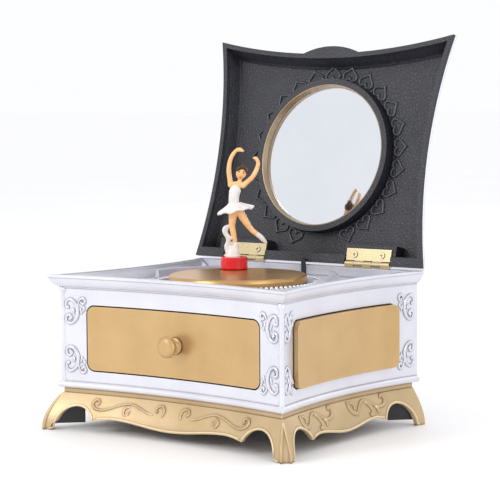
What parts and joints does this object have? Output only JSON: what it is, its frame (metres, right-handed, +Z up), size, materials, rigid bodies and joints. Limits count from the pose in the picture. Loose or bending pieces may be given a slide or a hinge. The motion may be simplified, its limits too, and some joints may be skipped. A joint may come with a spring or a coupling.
{
  "type": "ballerina jewellery music box",
  "caption": "Footed jewellery box with concave sides, a drawer, a hinged lid with a round mirror, and a magnetic dancer that a wind-up movement turns.",
  "frame": {"origin": "on the table under the centre of the rim of the box", "axes": "+X to the box's right, +Y to its back, where the hinges are, +Z up"},
  "size_m": [0.1586, 0.1646, 0.2027],
  "materials": {
    "silver_body": "satin silver plate over a cast body",
    "gold_trim": "satin pale gold plate",
    "base_gold": "satin pale gold plate, embossed",
    "tray_silver": "bright silver plate",
    "stage_gold": "brushed, bright gold",
    "lid_black": "black, leather-grained",
    "plate_black": "black",
    "mirror": "silvered glass",
    "hinge_brass": "polished",
    "steel": "bright",
    "zinc": "cast, bare",
    "nylon": "natural",
    "velvet": "flocked lining",
    "dancer_red": "glossy",
    "dancer_paint": "painted"
  },
  "bodies": {
    "case": {"case_shell": "silver_body", "top_tray": "tray_silver", "stage_disc": "stage_gold", "base_skirt": "base_gold", "bottom_plate": "plate_black", "side_panel_left": "gold_trim", "side_panel_right": "gold_trim", "drawer_runner_left": "plate_black", "drawer_runner_right": "plate_black", "case_leaf_left": "hinge_brass", "case_leaf_right": "hinge_brass", "hinge_pin_left": "hinge_brass", "hinge_pin_right": "hinge_brass", "hinge_case_screws": "hinge_brass", "case_screws": "steel", "stop_bracket": "zinc", "stop_spring": "steel", "movement_bed": "zinc", "movement_screws": "steel", "cylinder_brackets": "zinc", "comb_block": "zinc", "tone_comb": "steel", "comb_screws": "hinge_brass", "stage_axle": "steel", "axle_clip": "steel"},
    "drawer": {"drawer_front": "gold_trim", "drawer_tray": "velvet", "drawer_knob": "gold_trim", "knob_screw": "steel"},
    "lid": {"lid_cover": "silver_body", "lid_liner": "lid_black", "mirror_bezel": "gold_trim", "lid_mirror": "mirror", "lid_leaf_left": "hinge_brass", "lid_leaf_right": "hinge_brass", "hinge_lid_screws": "hinge_brass"},
    "stop": {"stop_pin": "plate_black"},
    "barrel": {"spring_barrel": "hinge_brass", "mainspring": "steel"},
    "key": {"winding_arbor": "steel", "winding_key": "hinge_brass"},
    "spindle": {"output_spindle": "steel", "drive_gear": "nylon"},
    "cylinder": {"music_cylinder": "hinge_brass", "cylinder_gear": "hinge_brass"},
    "brake": {"air_brake": "nylon"},
    "rotor": {"rotor_gear": "nylon", "magnet_arm": "nylon", "drive_magnet": "steel"},
    "dancer_carrier": {"dancer_magnet": "steel"},
    "dancer": {"dancer_base": "dancer_red", "dancer_figure": "dancer_paint"}
  },
  "joints": [
    {"name": "lid_hinge", "type": "hinge", "parent": "case", "child": "lid", "pos_m": [0, 0.0605, 0.0818], "axis": [1, 0, 0], "range_deg": [0, 103.3]},
    {"name": "drawer_slide", "type": "slide", "parent": "case", "child": "drawer", "axis": [0, -1, 0], "range_m": [0, 0.05]},
    {"name": "stop_press", "type": "slide", "parent": "case", "child": "stop", "axis": [0, 0, -1], "range_m": [0, 0.0032], "deforming": ["stop_spring"]},
    {"name": "winding_key_turn", "type": "hinge", "parent": "case", "child": "key", "pos_m": [-0.018, 0.03505, 0.02], "axis": [0, 0, 1], "continuous": true},
    {"name": "barrel_spin", "type": "hinge", "parent": "case", "child": "barrel", "pos_m": [-0.018, 0.03505, 0.033], "axis": [0, 0, 1], "continuous": true},
    {"name": "spindle_spin", "type": "hinge", "parent": "case", "child": "spindle", "pos_m": [0, 0.0298, 0.04], "axis": [0, 0, 1], "continuous": true},
    {"name": "cylinder_spin", "type": "hinge", "parent": "case", "child": "cylinder", "pos_m": [0.01, 0.03505, 0.04227], "axis": [1, 0, 0], "continuous": true},
    {"name": "brake_spin", "type": "hinge", "parent": "case", "child": "brake", "pos_m": [0.02, 0.047, 0.034], "axis": [1, 0, 0], "continuous": true},
    {"name": "stage_spin", "type": "hinge", "parent": "case", "child": "rotor", "pos_m": [0, 0.001, 0.07], "axis": [0, 0, 1], "continuous": true},
    {"name": "dancer_lift", "type": "hinge", "parent": "rotor", "child": "dancer_carrier", "pos_m": [-0.055, -0.02544, 0.04285], "axis": [0.7829, -0.6221, 0], "range_deg": [0, 180]},
    {"name": "dancer_level", "type": "hinge", "parent": "dancer_carrier", "child": "dancer", "pos_m": [-0.018, 0.02113, 0.0825], "axis": [0.7829, -0.6221, 0], "range_deg": [-180, 0]}
  ],
  "couplings": [
    {"joint": "stop_press", "follows": "lid_hinge", "m_per_rad": 0.0017748},
    {"joint": "spindle_spin", "follows": "barrel_spin", "ratio": -4},
    {"joint": "stage_spin", "follows": "barrel_spin", "ratio": 4},
    {"joint": "cylinder_spin", "follows": "barrel_spin", "ratio": 4},
    {"joint": "brake_spin", "follows": "barrel_spin", "ratio": -12},
    {"joint": "dancer_lift", "follows": "lid_hinge", "ratio": 1.7425},
    {"joint": "dancer_level", "follows": "lid_hinge", "ratio": -1.7425}
  ]
}
